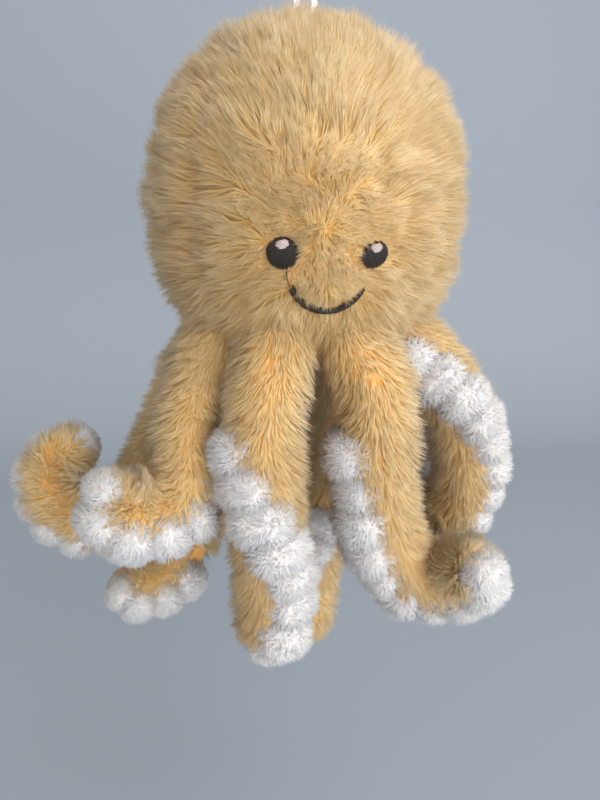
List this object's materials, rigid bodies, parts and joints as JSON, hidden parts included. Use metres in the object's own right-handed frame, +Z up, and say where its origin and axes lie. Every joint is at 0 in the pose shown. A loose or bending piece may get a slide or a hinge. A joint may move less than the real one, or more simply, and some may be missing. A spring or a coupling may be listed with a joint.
{
  "type": "plush octopus",
  "caption": "Stuffed plush octopus that hangs by a sewn cord loop: round head, stitched face and curling arms with gathered white undersides.",
  "frame": {"origin": "hang point at the inside top of the loop", "axes": "+Z up along the loop, the face looks along -Y, +X to the right as seen from the front"},
  "size_m": [0.1493, 0.0912, 0.2404],
  "materials": {
    "plush_golden": "long golden plush pile, matt",
    "plush_white": "dense white plush pile, matt",
    "fibre_filling": "loose polyester fibre filling",
    "thread_black": "black satin stitching, slight sheen",
    "thread_white": "white satin stitching, slight sheen",
    "cord_white": "white braided cord, satin sheen"
  },
  "bodies": {
    "loop": {"hanging_loop": "cord_white"},
    "knot": {"loop_knot": "cord_white"},
    "head": {"head_front_panel": "plush_golden", "head_left_panel": "plush_golden", "head_right_panel": "plush_golden", "head_back_panel": "plush_golden", "head_filling": "fibre_filling", "base_panel": "plush_golden", "eye_left": "thread_black", "eye_right": "thread_black", "eye_highlights": "thread_white", "smile": "thread_black"},
    "front_left_upper": {"front_left_upper_top": "plush_golden", "front_left_upper_underside": "plush_white", "front_left_upper_filling": "fibre_filling"},
    "front_left_lower": {"front_left_lower_top": "plush_golden", "front_left_lower_underside": "plush_white", "front_left_lower_filling": "fibre_filling"},
    "front_right_upper": {"front_right_upper_top": "plush_golden", "front_right_upper_underside": "plush_white", "front_right_upper_filling": "fibre_filling"},
    "front_right_lower": {"front_right_lower_top": "plush_golden", "front_right_lower_underside": "plush_white", "front_right_lower_filling": "fibre_filling"},
    "right_front_upper": {"right_front_upper_top": "plush_golden", "right_front_upper_underside": "plush_white", "right_front_upper_filling": "fibre_filling"},
    "right_front_lower": {"right_front_lower_top": "plush_golden", "right_front_lower_underside": "plush_white", "right_front_lower_filling": "fibre_filling"},
    "right_back_upper": {"right_back_upper_top": "plush_golden", "right_back_upper_underside": "plush_white", "right_back_upper_filling": "fibre_filling"},
    "right_back_lower": {"right_back_lower_top": "plush_golden", "right_back_lower_underside": "plush_white", "right_back_lower_filling": "fibre_filling"},
    "back_right_upper": {"back_right_upper_top": "plush_golden", "back_right_upper_underside": "plush_white", "back_right_upper_filling": "fibre_filling"},
    "back_right_lower": {"back_right_lower_top": "plush_golden", "back_right_lower_underside": "plush_white", "back_right_lower_filling": "fibre_filling"},
    "back_left_upper": {"back_left_upper_top": "plush_golden", "back_left_upper_underside": "plush_white", "back_left_upper_filling": "fibre_filling"},
    "back_left_lower": {"back_left_lower_top": "plush_golden", "back_left_lower_underside": "plush_white", "back_left_lower_filling": "fibre_filling"},
    "left_back_upper": {"left_back_upper_top": "plush_golden", "left_back_upper_underside": "plush_white", "left_back_upper_filling": "fibre_filling"},
    "left_back_lower": {"left_back_lower_top": "plush_golden", "left_back_lower_underside": "plush_white", "left_back_lower_filling": "fibre_filling"},
    "left_front_upper": {"left_front_upper_top": "plush_golden", "left_front_upper_underside": "plush_white", "left_front_upper_filling": "fibre_filling"},
    "left_front_lower": {"left_front_lower_top": "plush_golden", "left_front_lower_underside": "plush_white", "left_front_lower_filling": "fibre_filling"}
  },
  "joints": [
    {"name": "swing_front_back", "type": "hinge", "parent": "loop", "child": "knot", "pos_m": [0, 0, -0.046], "axis": [1, 0, 0], "range_deg": [-25, 25]},
    {"name": "swing_sideways", "type": "hinge", "parent": "knot", "child": "head", "pos_m": [0, 0, -0.046], "axis": [0, 1, 0], "range_deg": [-25, 25]},
    {"name": "front_left_lift", "type": "hinge", "parent": "head", "child": "front_left_upper", "pos_m": [-0.01, -0.024, -0.1235], "axis": [-0.9231, 0.3846, 0], "range_deg": [-5, 30], "stiffness_Nm_per_rad": 0.03},
    {"name": "front_left_curl", "type": "hinge", "parent": "front_left_upper", "child": "front_left_lower", "pos_m": [-0.01492, -0.03693, -0.16174], "axis": [0.9038, -0.4278, -0.0096], "range_deg": [-20, 20], "stiffness_Nm_per_rad": 0.02},
    {"name": "front_right_lift", "type": "hinge", "parent": "head", "child": "front_right_upper", "pos_m": [0.01, -0.024, -0.1235], "axis": [-0.9231, -0.3846, 0], "range_deg": [-5, 30], "stiffness_Nm_per_rad": 0.03},
    {"name": "front_right_curl", "type": "hinge", "parent": "front_right_upper", "child": "front_right_lower", "pos_m": [0.01535, -0.03422, -0.16826], "axis": [0.3385, -0.9409, -0.0064], "range_deg": [-20, 20], "stiffness_Nm_per_rad": 0.02},
    {"name": "right_front_lift", "type": "hinge", "parent": "head", "child": "right_front_upper", "pos_m": [0.024, -0.01, -0.1235], "axis": [-0.3846, -0.9231, 0], "range_deg": [-5, 15], "stiffness_Nm_per_rad": 0.03},
    {"name": "right_front_curl", "type": "hinge", "parent": "right_front_upper", "child": "right_front_lower", "pos_m": [0.04756, -0.01323, -0.15575], "axis": [0.5891, 0.7855, 0.1897], "range_deg": [-8, 20], "stiffness_Nm_per_rad": 0.02},
    {"name": "right_back_lift", "type": "hinge", "parent": "head", "child": "right_back_upper", "pos_m": [0.024, 0.01, -0.1235], "axis": [0.3846, -0.9231, 0], "range_deg": [-5, 20], "stiffness_Nm_per_rad": 0.03},
    {"name": "right_back_curl", "type": "hinge", "parent": "right_back_upper", "child": "right_back_lower", "pos_m": [0.04868, 0.02362, -0.16197], "axis": [0.5242, -0.8501, 0.0506], "range_deg": [-10, 20], "stiffness_Nm_per_rad": 0.02},
    {"name": "back_right_lift", "type": "hinge", "parent": "head", "child": "back_right_upper", "pos_m": [0.01, 0.024, -0.1235], "axis": [0.9231, -0.3846, 0], "range_deg": [-5, 30], "stiffness_Nm_per_rad": 0.03},
    {"name": "back_right_curl", "type": "hinge", "parent": "back_right_upper", "child": "back_right_lower", "pos_m": [0.01401, 0.034, -0.17691], "axis": [0.9975, 0, -0.0712], "range_deg": [-20, 20], "stiffness_Nm_per_rad": 0.02},
    {"name": "back_left_lift", "type": "hinge", "parent": "head", "child": "back_left_upper", "pos_m": [-0.01, 0.024, -0.1235], "axis": [0.9231, 0.3846, 0], "range_deg": [0, 30], "stiffness_Nm_per_rad": 0.03},
    {"name": "back_left_curl", "type": "hinge", "parent": "back_left_upper", "child": "back_left_lower", "pos_m": [-0.02846, 0.02574, -0.17515], "axis": [0.5232, 0.6976, -0.4895], "range_deg": [-20, 4], "stiffness_Nm_per_rad": 0.02},
    {"name": "left_back_lift", "type": "hinge", "parent": "head", "child": "left_back_upper", "pos_m": [-0.024, 0.01, -0.1235], "axis": [0.3846, 0.9231, 0], "range_deg": [-4, 20], "stiffness_Nm_per_rad": 0.03},
    {"name": "left_back_curl", "type": "hinge", "parent": "left_back_upper", "child": "left_back_lower", "pos_m": [-0.05139, 0.02153, -0.17709], "axis": [0.1928, 0.9725, -0.1304], "range_deg": [-6, 20], "stiffness_Nm_per_rad": 0.02},
    {"name": "left_front_lift", "type": "hinge", "parent": "head", "child": "left_front_upper", "pos_m": [-0.024, -0.01, -0.1235], "axis": [-0.3846, 0.9231, 0], "range_deg": [-8, 25], "stiffness_Nm_per_rad": 0.03},
    {"name": "left_front_curl", "type": "hinge", "parent": "left_front_upper", "child": "left_front_lower", "pos_m": [-0.03108, -0.02084, -0.15139], "axis": [-0.367, 0.8168, -0.4451], "range_deg": [-20, 20], "stiffness_Nm_per_rad": 0.02}
  ]
}
